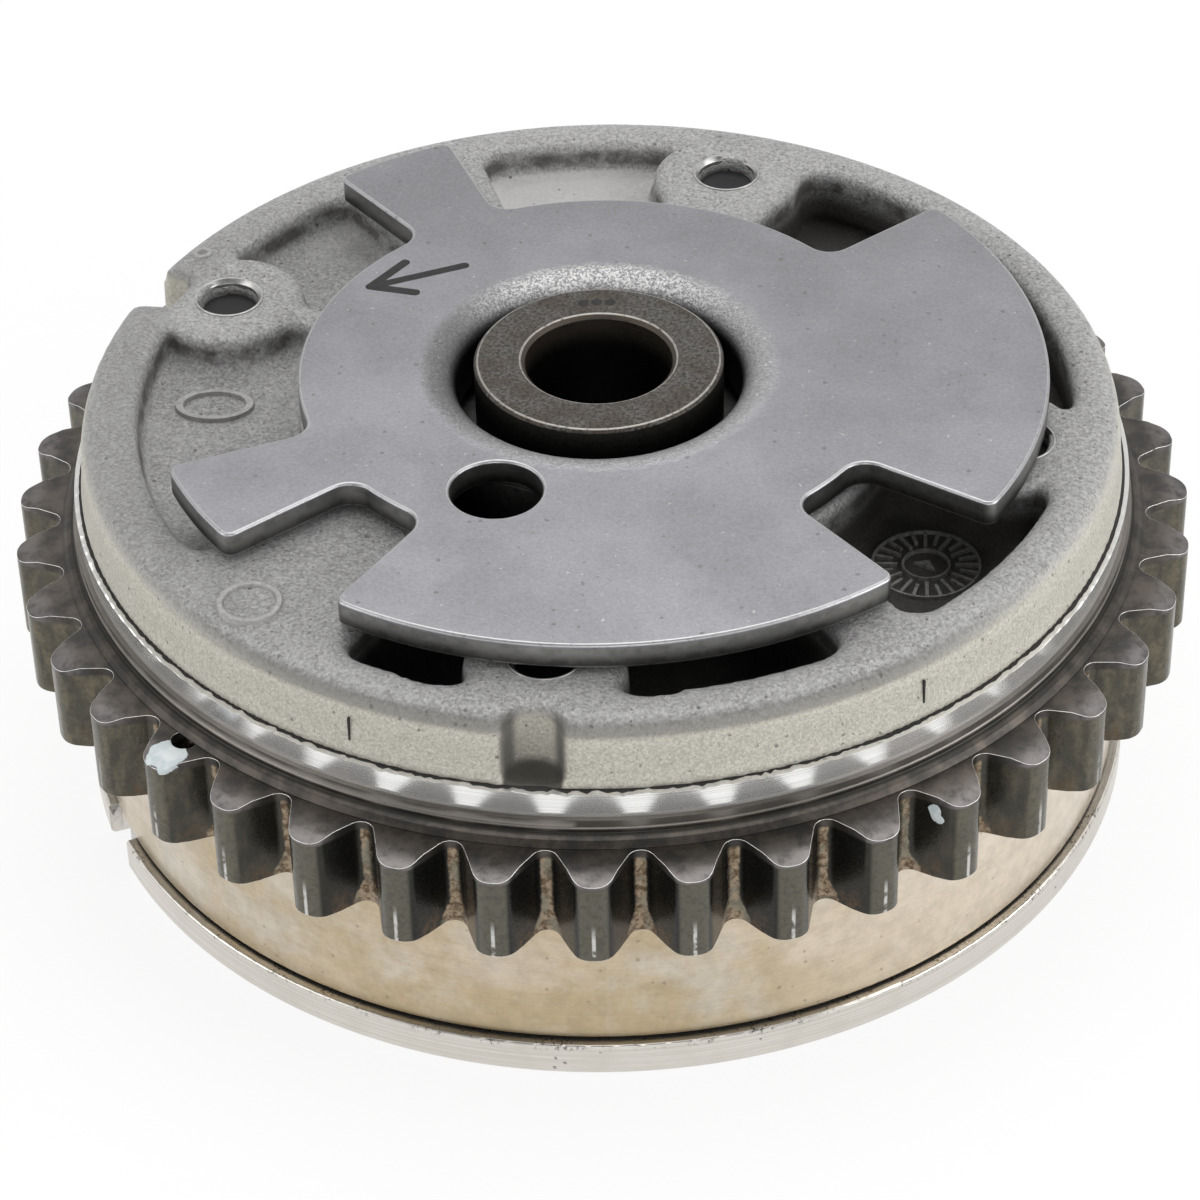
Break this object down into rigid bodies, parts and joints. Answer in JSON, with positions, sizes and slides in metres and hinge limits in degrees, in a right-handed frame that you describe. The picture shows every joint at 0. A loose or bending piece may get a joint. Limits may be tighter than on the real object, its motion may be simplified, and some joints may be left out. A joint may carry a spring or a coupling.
{
  "type": "cam phaser",
  "caption": "Hydraulic vane cam phaser with a chain sprocket ring, a pocketed cast front cover and a lobed trigger wheel that turns with the inner rotor.",
  "frame": {"origin": "on the axis, at the middle of the rear face", "axes": "+Z along the axis from the rear face to the nose; the half-round rim groove lies close to -Y"},
  "size_m": [0.108, 0.108, 0.0418],
  "materials": {
    "turned_plate": "bright turned",
    "turned_drum": "turned with warm tan oil stain",
    "oxide_steel": "dark brown oxide with bright edges",
    "cast_aluminium": "as cast, fine sandy grain, turned land",
    "dark_bolt": "dark phosphate",
    "sinter_steel": "sintered and ground",
    "dark_steel": "dark hardened with a bright chamfer",
    "wheel_steel": "satin stamped sheet with bright rounded edges",
    "hard_steel": "ground",
    "spring_steel": "bright wire",
    "seal_plastic": "moulded"
  },
  "bodies": {
    "housing": {"rear_plate": "turned_plate", "lock_seat": "hard_steel", "locating_dowel": "hard_steel", "stator": "turned_drum", "sprocket": "oxide_steel", "front_cover": "cast_aluminium", "housing_bolts": "dark_bolt", "shoe_seals": "seal_plastic", "shoe_seal_springs": "spring_steel"},
    "rotor": {"rotor": "sinter_steel", "nose_bushing": "dark_steel", "trigger_wheel": "wheel_steel", "lock_pin": "hard_steel", "lock_spring": "spring_steel", "lock_pin_cap": "sinter_steel", "vane_seals": "seal_plastic", "vane_seal_springs": "spring_steel"}
  },
  "joints": [
    {"name": "phase_turn", "type": "hinge", "parent": "housing", "child": "rotor", "pos_m": [0, 0, 0.018], "axis": [0, 0, -1], "range_deg": [0, 25]}
  ]
}
